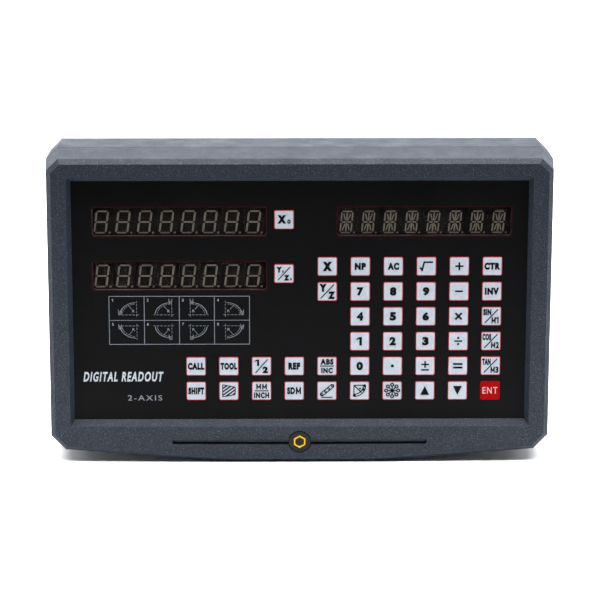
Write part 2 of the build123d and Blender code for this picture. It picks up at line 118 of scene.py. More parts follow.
def texturedAbs():
    # ABS moulded in a spark-eroded tool, slate grey with a little metal flake:
    # the eye sees a fine grain, and bright specks where an edge turns to the light.
    # A real moulded grain is finer than this one, which is drawn as coarse as it needs to show.
    look = {
        "grain": 0.7 * mm, "depth": 0.24 * mm, "fleck": 0.65 * mm,
        "patch": 12 * mm, "roughness": (0.48, 0.62),
        "tones": [(0.30, "#0c1017"), (0.46, "#151b24"), (0.60, "#1e2631"), (0.78, "#485368")],
    }
    material, tree, shader, place = newMaterial(
        "texturedSlateAbs", {"IOR": 1.5, "Specular IOR Level": 0.22}
    )
    noise = addNode(
        tree, "ShaderNodeTexNoise", values={"Scale": 1 / look["fleck"], "Detail": 2.0},
        links={"Vector": place},
    )
    ramp = addNode(tree, "ShaderNodeValToRGB", links={"Fac": noise.outputs["Fac"]})
    while len(ramp.color_ramp.elements) < len(look["tones"]):
        ramp.color_ramp.elements.new(0.5)
    for element, (position, tone) in zip(ramp.color_ramp.elements, look["tones"]):
        element.position = position
        element.color = linear(tone)
    tree.links.new(ramp.outputs["Color"], shader.inputs["Base Color"])
    grainBump(tree, shader, place, look["grain"], look["depth"])
    wornRoughness(tree, shader, place, look["patch"], *look["roughness"])
    return material


def printedFilm():
    # black screen-printed polycarbonate film with a fine velvet finish: nearly black, a soft grey bloom
    material, tree, shader, place = newMaterial(
        "velvetBlackFilm", {"IOR": 1.58, "Specular IOR Level": 0.042}
    )
    mottle(tree, shader, place, "#020203", "#050607", 0.8 * mm)
    grainBump(tree, shader, place, 0.6 * mm, 0.012 * mm)
    wornRoughness(tree, shader, place, 30 * mm, 0.42, 0.56)
    return material


def smokedAcrylic():
    # smoked acrylic: see-through but dark, with a soft shine
    material, tree, shader, place = newMaterial(
        "smokedAcrylic",
        {"Base Color": linear("#0c0a0a"), "IOR": 1.49, "Alpha": 0.18, "Specular IOR Level": 0.05},
    )
    wornRoughness(tree, shader, place, 20 * mm, 0.45, 0.55)
    return material


def displayFace(name, darkHex, lightHex):
    # matte dark face of an LED module
    material, tree, shader, place = newMaterial(
        name, {"IOR": 1.5, "Roughness": 0.8, "Specular IOR Level": 0.03}
    )
    mottle(tree, shader, place, darkHex, lightHex, 1.2 * mm)
    return material


def segmentResin():
    # unlit epoxy segments: milky grey-brown diffuser
    material, tree, shader, place = newMaterial(
        "milkySegmentResin", {"IOR": 1.5, "Roughness": 0.7, "Specular IOR Level": 0.05}
    )
    mottle(tree, shader, place, "#7d7369", "#877d73", 3 * mm)
    return material


def printInk(name, darkHex, lightHex, roughness):
    # screen-printed ink: even colour with slight pigment variation
    material, tree, shader, place = newMaterial(
        name, {"IOR": 1.5, "Roughness": roughness, "Specular IOR Level": 0.04}
    )
    mottle(tree, shader, place, darkHex, lightHex, 1.0 * mm)
    return material


def keyFilm(name, darkHex, lightHex):
    # key faces: coloured print under the same fine-textured clear film
    material, tree, shader, place = newMaterial(
        name, {"IOR": 1.58, "Roughness": 0.42, "Specular IOR Level": 0.015}
    )
    mottle(tree, shader, place, darkHex, lightHex, 2.5 * mm)
    grainBump(tree, shader, place, 0.6 * mm, 0.008 * mm)
    return material


def mouldedBlack(name, roughness, specular=0.5):
    # moulded or lacquered black plastic: near black, with a slightly uneven skin
    material, tree, shader, place = newMaterial(
        name, {"IOR": 1.53, "Roughness": roughness, "Specular IOR Level": specular}
    )
    mottle(tree, shader, place, "#101012", "#19191c", 1.5 * mm)
    grainBump(tree, shader, place, 0.5 * mm, 0.01 * mm)
    return material


def platedMetal(name, darkHex, lightHex, low, high, size):
    # plated sheet metal: slightly uneven tone and shine
    material, tree, shader, place = newMaterial(name, {"Metallic": 1.0})
    mottle(tree, shader, place, darkHex, lightHex, size)
    wornRoughness(tree, shader, place, size, low, high)
    return material


def boardLaminate():
    # FR4 laminate under green solder mask
    material, tree, shader, place = newMaterial("greenBoardLaminate", {"IOR": 1.55, "Roughness": 0.4})
    mottle(tree, shader, place, "#0d4a26", "#14602f", 6 * mm)
    return material


finishes = {
    "case_plastic": texturedAbs(),
    "panel_film": printedFilm(),
    "plate_aluminium": platedMetal("millAluminium", "#b9bcc0", "#cfd2d5", 0.35, 0.5, 4 * mm),
    "window_filter": smokedAcrylic(),
    "display_module": displayFace("ledModuleFace", "#1a1716", "#1d1a19"),
    "circuit_board": boardLaminate(),
    "switch_plastic": mouldedBlack("switchNylon", 0.5),
    "key_white": keyFilm("coolWhiteKeyFilm", "#979fa8", "#a0a8b1"),
    "key_red": keyFilm("redKeyFilm", "#800306", "#8a0508"),
    "inlet_plastic": mouldedBlack("inletNylon", 0.5, 0.2),
    "rocker_plastic": mouldedBlack("rockerPolycarbonate", 0.3, 0.25),
    "socket_metal": platedMetal("nickelPlatedSteel", "#8f8b80", "#a29f94", 0.3, 0.42, 3 * mm),
    "screw_steel": platedMetal("zincPlatedSteel", "#a9adb0", "#c3c7ca", 0.28, 0.42, 1.5 * mm),
    "badge_plastic": mouldedBlack("badgeLacquer", 0.25, 0.1),
}
redInk = printInk("redBorderInk", "#8a0a14", "#990f1a", 0.45)
blackInk = printInk("blackLegendInk", "#050506", "#09090b", 0.5)
# painted highlight: a pale line where light would catch the raised emboss of each key, drawn as ink
embossHighlightPaint = printInk("faintKeyLine", "#b0b6c2", "#bac0ca", 0.45)
paleInk = printInk("paleEnterInk", "#b9a0a4", "#c2a9ad", 0.45)
outlineInk = printInk("darkRedOutlineInk", "#2c0506", "#360708", 0.5)
tableInk = printInk("greyTableInk", "#646a72", "#6f757d", 0.5)
tableFineInk = printInk("fineTableInk", "#71777e", "#7c8289", 0.5)
whiteInk = printInk("whiteNameInk", "#9aa1a9", "#a6adb5", 0.45)
yellowInk = printInk("yellowBadgeInk", "#c79a00", "#d6aa06", 0.4)
segmentMaterial = segmentResin()
brass = platedMetal("tinnedBrass", "#a98a4a", "#c4a560", 0.25, 0.4, 2 * mm)
print("materials made:", len(bpy.data.materials))


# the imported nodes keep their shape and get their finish
slotOf = {row["node"]: row["material_slot"] for row in frame["record"]["subparts"]}
for nodeName, node in nodes.items():
    node.data.materials.clear()
    node.data.materials.append(finishes[slotOf[nodeName]])
print("nodes finished")


inkThickness = 0.04  # millimetres; every mark is drawn flat, as a thin closed plate


def placed(bm, geometry, matrix):
    bmesh.ops.transform(bm, matrix=matrix, verts=geometry)


def bar(bm, start, end, width, thick=inkThickness):
    made = bmesh.ops.create_cube(bm, size=1)["verts"]
    length = hypot(end[0] - start[0], end[1] - start[1])
    middle = ((start[0] + end[0]) / 2, (start[1] + end[1]) / 2, thick / 2)
    turn = Matrix.Rotation(atan2(end[1] - start[1], end[0] - start[0]), 4, "Z")
    placed(bm, made, Matrix.Translation(middle) @ turn @ Matrix.Diagonal((length, width, thick, 1)))


def disc(bm, centre, radius, thick=inkThickness, segments=24):
    made = bmesh.ops.create_cone(
        bm, cap_ends=True, segments=segments, radius1=radius, radius2=radius, depth=thick
    )["verts"]
    placed(bm, made, Matrix.Translation((centre[0], centre[1], thick / 2)))


def raiseFaces(bm, faces, thick):
    # gives flat faces their thickness
    raised = bmesh.ops.extrude_face_region(bm, geom=faces)["geom"]
    upper = [part for part in raised if isinstance(part, bmesh.types.BMVert)]
    bmesh.ops.translate(bm, vec=(0, 0, thick), verts=upper)


def plate(bm, corners, thick=inkThickness):
    raiseFaces(bm, [bm.faces.new([bm.verts.new((x, y, 0)) for x, y in corners])], thick)


def arc(bm, centre, radius, first, last, width, thick=inkThickness):
    # part of a flat ring, angles in degrees; a full turn closes on itself
    full = abs(last - first) >= 360
    section = bmesh.ops.create_grid(bm, x_segments=1, y_segments=1, size=0.5)["verts"]
    stand = Matrix.Rotation(radians(90), 4, "X")
    start = Matrix.Rotation(radians(first), 4, "Z")
    middle = Matrix.Translation((centre[0], centre[1], thick / 2))
    place = middle @ start @ Matrix.Translation((radius, 0, 0))
    placed(bm, section, place @ stand @ Matrix.Diagonal((width, thick, 1, 1)))
    faces = list({face for vert in section for face in vert.link_faces})
    edges = list({edge for vert in section for edge in vert.link_edges})
    if full:
        bmesh.ops.delete(bm, geom=faces, context="FACES_ONLY")
        faces = []
    bmesh.ops.spin(
        bm, geom=list(section) + edges + faces, cent=(centre[0], centre[1], 0), axis=(0, 0, 1),
        angle=radians(last - first), steps=max(3, int(abs(last - first) / 9)), use_merge=full,
    )


def rimOf(bm, face, line, thick):
    # keeps a rim of the face as a thin plate and drops its middle
    rim = bmesh.ops.inset_individual(bm, faces=[face], thickness=line, use_even_offset=True)["faces"]
    bmesh.ops.delete(bm, geom=[face], context="FACES_ONLY")
    raiseFaces(bm, rim, thick)


def roundedFrame(bm, width, height, corner, line, centre=(0, 0), thick=inkThickness):
    made = bmesh.ops.create_grid(bm, x_segments=1, y_segments=1, size=0.5)["verts"]
    placed(bm, made, Matrix.Translation((centre[0], centre[1], 0)) @ Matrix.Diagonal((width, height, 1, 1)))
    rounded = bmesh.ops.bevel(
        bm, geom=list(made), offset=corner, offset_type="OFFSET", affect="VERTICES", segments=5,
        profile=0.5, material=-1, clamp_overlap=True,
    )["verts"]
    rimOf(bm, rounded[0].link_faces[0], line, thick)


def hexagonFrame(bm, radius, line):
    made = bmesh.ops.create_circle(bm, cap_ends=True, segments=6, radius=radius)["verts"]
    rimOf(bm, made[0].link_faces[0], line, inkThickness)


def lettering(bm, words, width, height, centre=(0, 0), weight=0.02, spacing=1.0, slant=0.0):
    # words fitted to a width and height in millimetres
    curve = bpy.data.curves.new("lettering", "FONT")
    curve.body = words
    curve.resolution_u = 4
    curve.offset = weight
    curve.shear = slant
    curve.space_character = spacing
    curve.extrude = 0.5
    writer = bpy.data.objects.new("lettering", curve)
    bpy.context.scene.collection.objects.link(writer)
    bpy.context.view_layer.update()
    mesh = bpy.data.meshes.new_from_object(writer.evaluated_get(bpy.context.evaluated_depsgraph_get()))
    xs = [v.co.x for v in mesh.vertices]
    ys = [v.co.y for v in mesh.vertices]
    size = (max(xs) - min(xs), max(ys) - min(ys))
    toCentre = Matrix.Translation((-(max(xs) + min(xs)) / 2, -(max(ys) + min(ys)) / 2, 0))
    fit = Matrix.Diagonal((width / size[0], height / size[1], inkThickness, 1))
    mesh.transform(Matrix.Translation((centre[0], centre[1], inkThickness / 2)) @ fit @ toCentre)
    bm.from_mesh(mesh)
    bpy.data.objects.remove(writer)
    bpy.data.curves.remove(curve)
    bpy.data.meshes.remove(mesh)


def standUp(x, depthY, z):
    # from a flat drawing in millimetres to its place facing the front, in metres
    return Matrix.Translation((x, depthY, z)) @ Matrix.Rotation(radians(90), 4, "X") @ Matrix.Scale(mm, 4)


def faceBack(x, depthY, z):
    # the same, facing the back
    upright = Matrix.Rotation(pi, 4, "Z") @ Matrix.Rotation(radians(90), 4, "X")
    return Matrix.Translation((x, depthY, z)) @ upright @ Matrix.Scale(mm, 4)


def makePiece(name, layers, place, body):
    # one object from drawings, each with its own material, riding on a body
    whole = bmesh.new()
    mesh = bpy.data.meshes.new(name)
    for index, (material, layer) in enumerate(layers):
        mesh.materials.append(material)
        bmesh.ops.recalc_face_normals(layer, faces=layer.faces)
        for face in layer.faces:
            face.material_index = index
        part = bpy.data.meshes.new("layer")
        layer.to_mesh(part)
        layer.free()
        whole.from_mesh(part)
        bpy.data.meshes.remove(part)
    bmesh.ops.transform(whole, matrix=place, verts=whole.verts)
    whole.to_mesh(mesh)
    whole.free()
    piece = bpy.data.objects.new(name, mesh)
    bpy.context.scene.collection.objects.link(piece)
    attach(piece, body)


# what a key carries: a red rim, a pale inner square that is a painted highlight of the film's raised
# emboss, and its legend, drawn about the key's centre
legendStyle = {
    "rim": 11.54, "rimCorner": 1.02, "rimLine": 0.38, "rimDepth": 0.32,
    "inner": 9.0, "innerCorner": 0.4, "innerLine": 0.12, "innerDepth": 0.01,
    "wordHeight": 4.4, "digitHeight": 5.3, "digitWidth": 3.9, "signReach": 2.3, "signLine": 0.95,
    "levelBar": ((-4.1, 0), (4.1, 0), 0.65), "slash": ((-3.9, -4.3), (3.9, 4.3), 0.68),
}
under = inkThickness * 0.9  # a mark that crosses another is a little thinner or thicker than it
over = inkThickness * 1.1


def stacked(upper, lower, upperSize, lowerSize):
    # two words with a level bar between them
    def draw(bm):
        lettering(bm, upper, *upperSize, centre=(0, 2.65), weight=0.07, spacing=1.2)
        lettering(bm, lower, *lowerSize, centre=(0, -2.8), weight=0.07, spacing=1.2)
        bar(bm, *legendStyle["levelBar"])
    return draw


def word(text, width, height=legendStyle["wordHeight"], weight=0.08, spacing=1.2):
    def draw(bm):
        lettering(bm, text, width, height, weight=weight, spacing=spacing)
    return draw


def drawM(bm, centre, width, height, stroke):
    # two uprights and a valley, because the font's own closes up when it is made heavy
    left, right = centre[0] - (width - stroke) / 2, centre[0] + (width - stroke) / 2
    low, top = centre[1] - height / 2, centre[1] + height / 2
    for x in (left, right):
        bar(bm, (x, low), (x, top), stroke)
        bar(bm, (x, top - stroke * 0.6), (centre[0], low + height * 0.25), stroke * 0.85, under)


def memory(upper, upperSize, number):
    # a function word over a memory number
    def draw(bm):
        lettering(bm, upper, *upperSize, centre=(-2.45, 2.5), weight=0.075, spacing=1.15)
        drawM(bm, (1.35, -2.5), 2.5, 4.0, 0.7)
        if number == "1":
            drawOne(bm, (3.7, -2.5), 4.0, 0.8)
        else:
            lettering(bm, number, 1.9, 4.0, centre=(3.85, -2.5), weight=0.06)
        bar(bm, *legendStyle["slash"])
    return draw


def drawSdm(bm):
    lettering(bm, "SD", 4.7, legendStyle["wordHeight"], centre=(-1.9, 0), weight=0.07, spacing=1.15)
    drawM(bm, (2.5, 0), 3.1, legendStyle["wordHeight"], 0.85)


def drawMmInch(bm):
    for x in (-1.75, 1.75):
        drawM(bm, (x, 2.65), 2.8, 3.6, 0.75)
    lettering(bm, "INCH", 9.0, 3.7, centre=(0, -2.8), weight=0.065, spacing=1.2)
    bar(bm, *legendStyle["levelBar"])


def drawOne(bm, centre=(0, 0), height=legendStyle["digitHeight"], stroke=1.5):
    # an upright with a flag, because the font's own is only a bar
    x, top = centre[0] + stroke * 0.3, centre[1] + height / 2
    bar(bm, (x, top - height), (x, top), stroke)
    near, far = x - stroke / 2, x - stroke * 1.7
    flag = [(near, top), (far, top - height * 0.2), (far, top - height * 0.36), (near, top - height * 0.24)]
    plate(bm, flag)


def digit(text):
    if text == "1":
        return drawOne
    return word(text, legendStyle["digitWidth"], legendStyle["digitHeight"], weight=0.075)


def drawHalf(bm):
    drawOne(bm, (-2.4, 2.1), 4.1, 1.25)
    lettering(bm, "2", 3.3, 4.2, centre=(2.2, -2.3), weight=0.075)
    bar(bm, (-3.6, -4.3), (3.6, 4.3), 0.65)


def drawRoot(bm):
    corners = [(-3.9, -0.9), (-3.2, -1.2), (-2.5, -2.6), (-1.3, 2.5), (3.9, 2.5)]
    for start, end in zip(corners, corners[1:]):
        bar(bm, start, end, 1.0)
    for corner in corners[1:-1]:
        disc(bm, corner, 0.5)


def drawPlus(bm):
    bar(bm, (-2.4, 0), (2.4, 0), 1.05)
    bar(bm, (0, -2.4), (0, 2.4), 1.05, over)


def drawMinus(bm):
    bar(bm, (-legendStyle["signReach"], 0), (legendStyle["signReach"], 0), 1.05)


def drawTimes(bm):
    bar(bm, (-1.9, -2.0), (1.9, 2.0), 1.2)
    bar(bm, (-1.9, 2.0), (1.9, -2.0), 1.2, over)


def drawDivide(bm):
    reach = legendStyle["signReach"]
    bar(bm, (-reach, 0), (reach, 0), legendStyle["signLine"])
    for y in (1.85, -1.85):
        disc(bm, (0, y), 0.72)


def drawPoint(bm):
    disc(bm, (0, 0), 0.95)


def drawPlusMinus(bm):
    reach = legendStyle["signReach"]
    for y in (0.9, -2.5):
        bar(bm, (-reach, y), (reach, y), legendStyle["signLine"])
    bar(bm, (0, -1.2), (0, 3.0), legendStyle["signLine"], over)


def drawEquals(bm):
    for y in (-1.1, 1.1):
        bar(bm, (-2.8, y), (2.8, y), 1.2)


def drawUp(bm):
    plate(bm, [(-2.7, -2.8), (2.7, -2.8), (0, 2.8)])


def drawDown(bm):
    plate(bm, [(-2.7, 2.8), (0, -2.8), (2.7, 2.8)])


def drawTaper(bm):
    left, right, high, low = -3.7, 3.7, 3.8, 2.3
    outline = [(left, -high), (right, -low), (right, low), (left, high)]
    for start, end in zip(outline, outline[1:] + outline[:1]):
        bar(bm, start, end, 0.55)
    # hatching rises to the right, three up for four along, and stops at the taper's sides
    rise, apart, samples = 0.75, 2.1, 40
    for step in range(-6, 7):
        crossing = []
        for k in range(samples + 1):
            x = left + (right - left) * k / samples
            y = x * rise + step * apart
            if abs(y) <= high - (high - low) * (x - left) / (right - left):
                crossing.append((x, y))
        if len(crossing) > 1:
            bar(bm, crossing[0], crossing[-1], 0.85, under)


def drawSlope(bm):
    # a row of holes in a slot on an incline, above its base line
    start, end = Vector((-2.9, -2.3)), Vector((3.1, 2.9))
    halfWidth, line, holes = 1.0, 0.6, 4
    along = (end - start).normalized()
    side = Vector((-along.y, along.x)) * halfWidth
    for sign in (-1, 1):
        bar(bm, start + side * sign, end + side * sign, line)
    turn = atan2(along.y, along.x) * 180 / pi
    arc(bm, start, halfWidth, turn + 90, turn + 270, line)
    arc(bm, end, halfWidth, turn - 90, turn + 90, line)
    for step in range(holes):
        arc(bm, start + (end - start) * (step / (holes - 1)), 0.52, 0, 360, 0.5)
    bar(bm, (-3.4, -4.2), (3.4, -4.2), 0.65)


def drawArcIcon(bm):
    # a quarter ring about one corner, with its radii and a few holes
    corner, line = Vector((-3.3, 3.3)), 0.62
    for radius in (5.6, 7.0):
        arc(bm, corner, radius, -88, -8, line)
    bar(bm, corner, corner + Vector((6.2, 0)), line)
    bar(bm, corner, corner + Vector((0, -6.2)), line)
    bar(bm, corner, corner + Vector((4.5, -4.5)), 0.75)
    for offset in ((6.3, -0.3), (0.2, -6.3), (5.6, -2.6)):
        disc(bm, corner + Vector(offset), 0.95)
    disc(bm, corner + Vector((3.6, -2.0)), 0.6)


def drawBoltCircle(bm):
    # eight holes on a circle, each with its spoke
    holes, circle, spoke = 8, 3.6, 2.6
    for step in range(holes):
        turn = step * 2 * pi / holes
        arc(bm, (circle * cos(turn), circle * sin(turn)), 0.85, 0, 360, 0.8)
        bar(bm, (0, 0), (spoke * cos(turn), spoke * sin(turn)), 0.72)
    disc(bm, (0, 0), 0.85)


def drawXZero(bm):
    lettering(bm, "X", 5.2, 5.2, centre=(-1.3, 0.2), weight=0.11)
    lettering(bm, "0", 2.0, 2.6, centre=(2.9, -1.2), weight=0.06)


def drawYz(bm):
    lettering(bm, "Y", 4.6, 4.9, centre=(-2.5, 2.3), weight=0.11)
    lettering(bm, "Z", 4.3, 4.7, centre=(2.5, -2.3), weight=0.09)
    bar(bm, *legendStyle["slash"])


def drawYzZero(bm):
    lettering(bm, "Y", 3.4, 3.7, centre=(-2.9, 2.4), weight=0.11)
    lettering(bm, "0", 1.1, 1.6, centre=(-0.6, 1.2), weight=0.06)
    lettering(bm, "Z", 3.2, 3.5, centre=(1.5, -2.6), weight=0.11)
    lettering(bm, "0", 1.1, 1.6, centre=(4.0, -3.5), weight=0.06)
    bar(bm, (-3.6, -4.1), (3.6, 4.1), 0.65)


legends = {
    "key_x_zero": drawXZero, "key_yz_zero": drawYzZero,
    "key_x": word("X", 5.6, 5.8, 0.12), "key_yz": drawYz, "key_np": word("NP", 6.6),
    "key_ac": word("AC", 6.8), "key_root": drawRoot, "key_plus": drawPlus, "key_ctr": word("CTR", 9.4),
    "key_minus": drawMinus, "key_inv": word("INV", 8.4), "key_times": drawTimes,
    "key_sin": memory("SIN", (4.8, 4.1), "1"), "key_divide": drawDivide,
    "key_cos": memory("COS", (5.2, 4.1), "2"), "key_call": word("CALL", 9.8), "key_tool": word("TOOL", 9.9),
    "key_half": drawHalf, "key_ref": word("REF", 7.0),
    "key_abs_inc": stacked("ABS", "INC", (7.8, 3.7), (6.8, 3.5)), "key_point": drawPoint,
    "key_plus_minus": drawPlusMinus, "key_equals": drawEquals, "key_tan": memory("TAN", (5.1, 4.1), "3"),
    "key_shift": word("SHIFT", 9.4), "key_taper": drawTaper,
    "key_mm_inch": drawMmInch, "key_sdm": drawSdm,
    "key_slope": drawSlope, "key_arc": drawArcIcon, "key_bolt_circle": drawBoltCircle,
    "key_up": drawUp, "key_down": drawDown, "key_enter": word("ENT", 8.8, 4.0, 0.0, 1.25),
}
for value in range(10):
    legends[f"key_{value}"] = digit(str(value))

for keyName, drawLegend in legends.items():
    low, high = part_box(keyName)
    centre = (low + high) / 2
    red = keyName == "key_enter"
    rim, line, legend = bmesh.new(), bmesh.new(), bmesh.new()
    style = legendStyle
    rimDepth = style["rimDepth"]
    roundedFrame(rim, style["rim"], style["rim"], style["rimCorner"], style["rimLine"], thick=rimDepth)
    bmesh.ops.translate(rim, vec=(0, 0, inkThickness - rimDepth), verts=rim.verts)
    # the pale inner square is painted highlight standing in for the light on the film's raised emboss, not
    # a printed line
    roundedFrame(
        line, style["inner"], style["inner"], style["innerCorner"], style["innerLine"],
        thick=style["innerDepth"],
    )
    drawLegend(legend)
    makePiece(
        "legend_" + keyName[4:],
        [
            (finishes["key_red"] if red else redInk, rim),
            (finishes["key_red"] if red else embossHighlightPaint, line),
            (paleInk if red else blackInk, legend),
        ],
        standUp(centre.x, low.y, centre.z), keyName,
    )
print("key legends drawn:", len(legends))


# unlit characters on the modules behind the windows
moduleHeight = 19.0
charactersInRow = 8
digitStyle = {
    "width": 7.7, "height": 14.1, "stroke": 1.1, "gap": 0.32, "slant": 7.5, "point": 0.68,
    "pointShift": 2.5, "pitch": 12.7, "raise": 0.06, "inset": 0.4, "drop": 0.7,
}
textStyle = {
    "width": 7.2, "height": 13.7, "stroke": 0.85, "gap": 0.26, "slant": 5.0, "point": 0.55,
    "pointShift": 1.9, "pitch": 12.7, "raise": 0.06, "inset": 1.1, "drop": 0.9,
    "slopeSide": 1.15, "slopeEnd": 1.3, "slopeNear": (0.8, 1.0),
}


def segment(bm, start, end, width, thick):
    # a bar with pointed ends
    start, end = Vector(start), Vector(end)
    along = (end - start).normalized() * (width / 2)
    side = Vector((-along.y, along.x))
    plate(
        bm,
        [start, start + along - side, end - along - side, end, end - along + side, start + along + side],
        thick,
    )


def outerStrokes(style):
    # centre lines of a character's left, right, low, middle and top strokes
    half = style["stroke"] / 2
    return half, style["width"] - half, half, style["height"] / 2, style["height"] - half


def pointAndLean(bm, style):
    # the decimal point, and then the slant of the whole character
    disc(
        bm, (style["width"] + style["pointShift"] - style["point"], style["stroke"] / 2),
        style["point"], style["raise"],
    )
    for vert in bm.verts:
        vert.co.x += vert.co.y * tan(radians(style["slant"]))


def sevenSegments(style):
    bm = bmesh.new()
    left, right, low, middle, top = outerStrokes(style)
    wide, gap, thick = style["stroke"], style["gap"], style["raise"]
    for y in (low, middle, top):
        segment(bm, (left + gap, y), (right - gap, y), wide * 0.85, thick)
    for x in (left, right):
        segment(bm, (x, low + gap), (x, middle - gap), wide, thick)
        segment(bm, (x, middle + gap), (x, top - gap), wide, thick)
    pointAndLean(bm, style)
    return bm


def starburst(style):
    bm = bmesh.new()
    left, right, low, middle, top = outerStrokes(style)
    wide, gap, thick = style["stroke"], style["gap"], style["raise"]
    centre = style["width"] / 2
    for y in (low, top):
        segment(bm, (left + gap, y), (right - gap, y), wide, thick)
    for first, last in ((left, centre), (centre, right)):
        segment(bm, (first + gap, middle), (last - gap, middle), wide, thick)
    for x in (left, centre, right):
        segment(bm, (x, low + gap * 2), (x, middle - gap * 2), wide, thick)
        segment(bm, (x, middle + gap * 2), (x, top - gap * 2), wide, thick)
    nearSide, nearRise = style["slopeNear"]
    for across, sideX in ((-1, left + style["slopeSide"]), (1, right - style["slopeSide"])):
        for rise, farY in ((-1, low + style["slopeEnd"]), (1, top - style["slopeEnd"])):
            near = (centre + across * nearSide, middle + rise * nearRise)
            segment(bm, near, (sideX, farY), wide * 0.8, thick)
    pointAndLean(bm, style)
    return bm


def displayRow(character, style, firstX, middleZ):
    # the same character repeated along a row, in the case's own millimetres
    single = bpy.data.meshes.new("character")
    shape = character(style)
    shape.to_mesh(single)
    shape.free()
    row = bmesh.new()
    baseZ = middleZ - style["height"] / 2 - style["drop"]
    for index in range(charactersInRow):
        copy = single.copy()
        copy.transform(Matrix.Translation((firstX + style["inset"] + index * style["pitch"], baseZ, 0)))
        row.from_mesh(copy)
        bpy.data.meshes.remove(copy)
    bpy.data.meshes.remove(single)
    return row


def displayPiece(name, row, face):
    makePiece(name, [(segmentMaterial, row)], standUp(0, face, 0), "case")


digitLow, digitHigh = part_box("digit_displays")
textLow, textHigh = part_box("text_display")
digitX, textX = digitLow.x / mm, textLow.x / mm
upperMiddle, lowerMiddle = digitHigh.z / mm - moduleHeight / 2, digitLow.z / mm + moduleHeight / 2
textMiddle = (textLow.z + textHigh.z) / 2 / mm
displayPiece("digitSegmentsX", displayRow(sevenSegments, digitStyle, digitX, upperMiddle), digitLow.y)
displayPiece("digitSegmentsY", displayRow(sevenSegments, digitStyle, digitX, lowerMiddle), digitLow.y)
displayPiece("textSegments", displayRow(starburst, textStyle, textX, textMiddle), textLow.y)
print("display characters drawn")


# dark red outlines round the three windows
windowStyle = {"size": (101.4, 17.1), "line": 0.36, "grow": 0.25, "corner": 1.6}
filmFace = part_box("front_overlay")[0].y
windowLow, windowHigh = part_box("display_windows")
windowWidth, windowHeight = windowStyle["size"]
leftX, rightX = windowLow.x / mm + windowWidth / 2, windowHigh.x / mm - windowWidth / 2
upperZ, lowerZ = windowHigh.z / mm - windowHeight / 2, windowLow.z / mm + windowHeight / 2
outlines = bmesh.new()
for centre in ((leftX, upperZ), (leftX, lowerZ), (rightX, upperZ)):
    grow = 2 * (windowStyle["grow"] + windowStyle["line"])
    roundedFrame(
        outlines, windowWidth + grow, windowHeight + grow, windowStyle["corner"], windowStyle["line"],
        centre,
    )
makePiece("windowOutlines", [(outlineInk, outlines)], standUp(0, filmFace, 0), "case")

# chart of the eight ways to cut an arc; a cell says on which side of its corner the arc lies, across and
# up, and whether the cutter stands at the side or at the top
chartStyle = {
    "left": -112.2, "top": 102.0, "cell": (20.65, 14.8), "line": 0.36, "corner": 0.3,
    "fine": 0.2, "bold": 0.26, "cutterLine": 0.24, "radius": 7.6, "stretch": 1.3,
    "shift": (4.9, 4.0), "nudge": 1.0, "past": 1.0, "before": 1.2, "dash": 1.5, "dashGap": 0.7,
    "innerStep": 0.9, "cutter": 0.85, "cutterShank": 2.2, "numberAt": (2.1, 2.4), "numberHeight": 1.7,
    "cells": [
        (-1, 1, True), (-1, 1, False), (1, 1, False), (1, 1, True),
        (-1, -1, True), (-1, -1, False), (1, -1, False), (1, -1, True),
    ],
}


def dashed(bm, start, end, width):
    length = (end - start).length
    along = (end - start) / length
    position = 0.0
    while position < length:
        stop = min(position + chartStyle["dash"], length)
        bar(bm, start + along * position, start + along * stop, width)
        position += chartStyle["dash"] + chartStyle["dashGap"]


def arcCell(bm, index, left, top, sideX, sideY, toolAtSide):
    # one cell: a quarter arc about a corner, its centre lines, its radius and the cutter on it
    style = chartStyle
    fine, radius = style["fine"], style["radius"]
    turn = {(1, 1): 0, (-1, 1): 90, (-1, -1): 180, (1, -1): 270}[(sideX, sideY)]
    middle = Vector((0, 0))
    cell = bmesh.new()
    arc(cell, middle, radius, turn + 4, turn + 86, style["bold"])
    for start in range(turn + 8, turn + 85, 11):
        arc(cell, middle, radius - style["innerStep"], start, start + 7, fine)
    bmesh.ops.scale(cell, vec=(style["stretch"], 1, 1), verts=cell.verts)
    acrossX = sideX * radius * style["stretch"]
    dashed(cell, Vector((-sideX * style["before"], 0)), Vector((acrossX + sideX * style["past"], 0)), fine)
    dashed(
        cell, Vector((0, -sideY * style["before"])), Vector((0, sideY * (radius + style["past"]))), fine
    )
    slant = Vector((sideX * cos(radians(50)), sideY * sin(radians(50))))
    bar(cell, slant * (radius - 3.2), slant * (radius - 0.4), fine)
    lettering(cell, "R", 1.4, 1.6, slant * (radius - 4.6), weight=0.0)
    tool = Vector((acrossX, sideY * 1.1)) if toolAtSide else Vector((sideX * 0.8, sideY * radius))
    arc(cell, tool, style["cutter"], 0, 360, style["cutterLine"])
    disc(cell, tool, 0.3)
    for side in (-style["cutter"], style["cutter"]):
        shank = tool + Vector((side, 0))
        bar(cell, shank, shank + Vector((0, style["cutterShank"])), style["cutterLine"])
    centreX = left + style["cell"][0] / 2 - sideX * style["shift"][0] + style["nudge"]
    centreY = top - style["cell"][1] / 2 - sideY * style["shift"][1]
    bmesh.ops.translate(cell, vec=(centreX, centreY, 0), verts=cell.verts)
    drawn = bpy.data.meshes.new("cell")
    cell.to_mesh(drawn)
    cell.free()
    bm.from_mesh(drawn)
    bpy.data.meshes.remove(drawn)
    numberAt = (left + style["numberAt"][0], top - style["numberAt"][1])
    if index == 1:
        drawOne(bm, numberAt, style["numberHeight"], 0.35)
    else:
        lettering(bm, str(index), 1.1, style["numberHeight"], numberAt, weight=0.02)


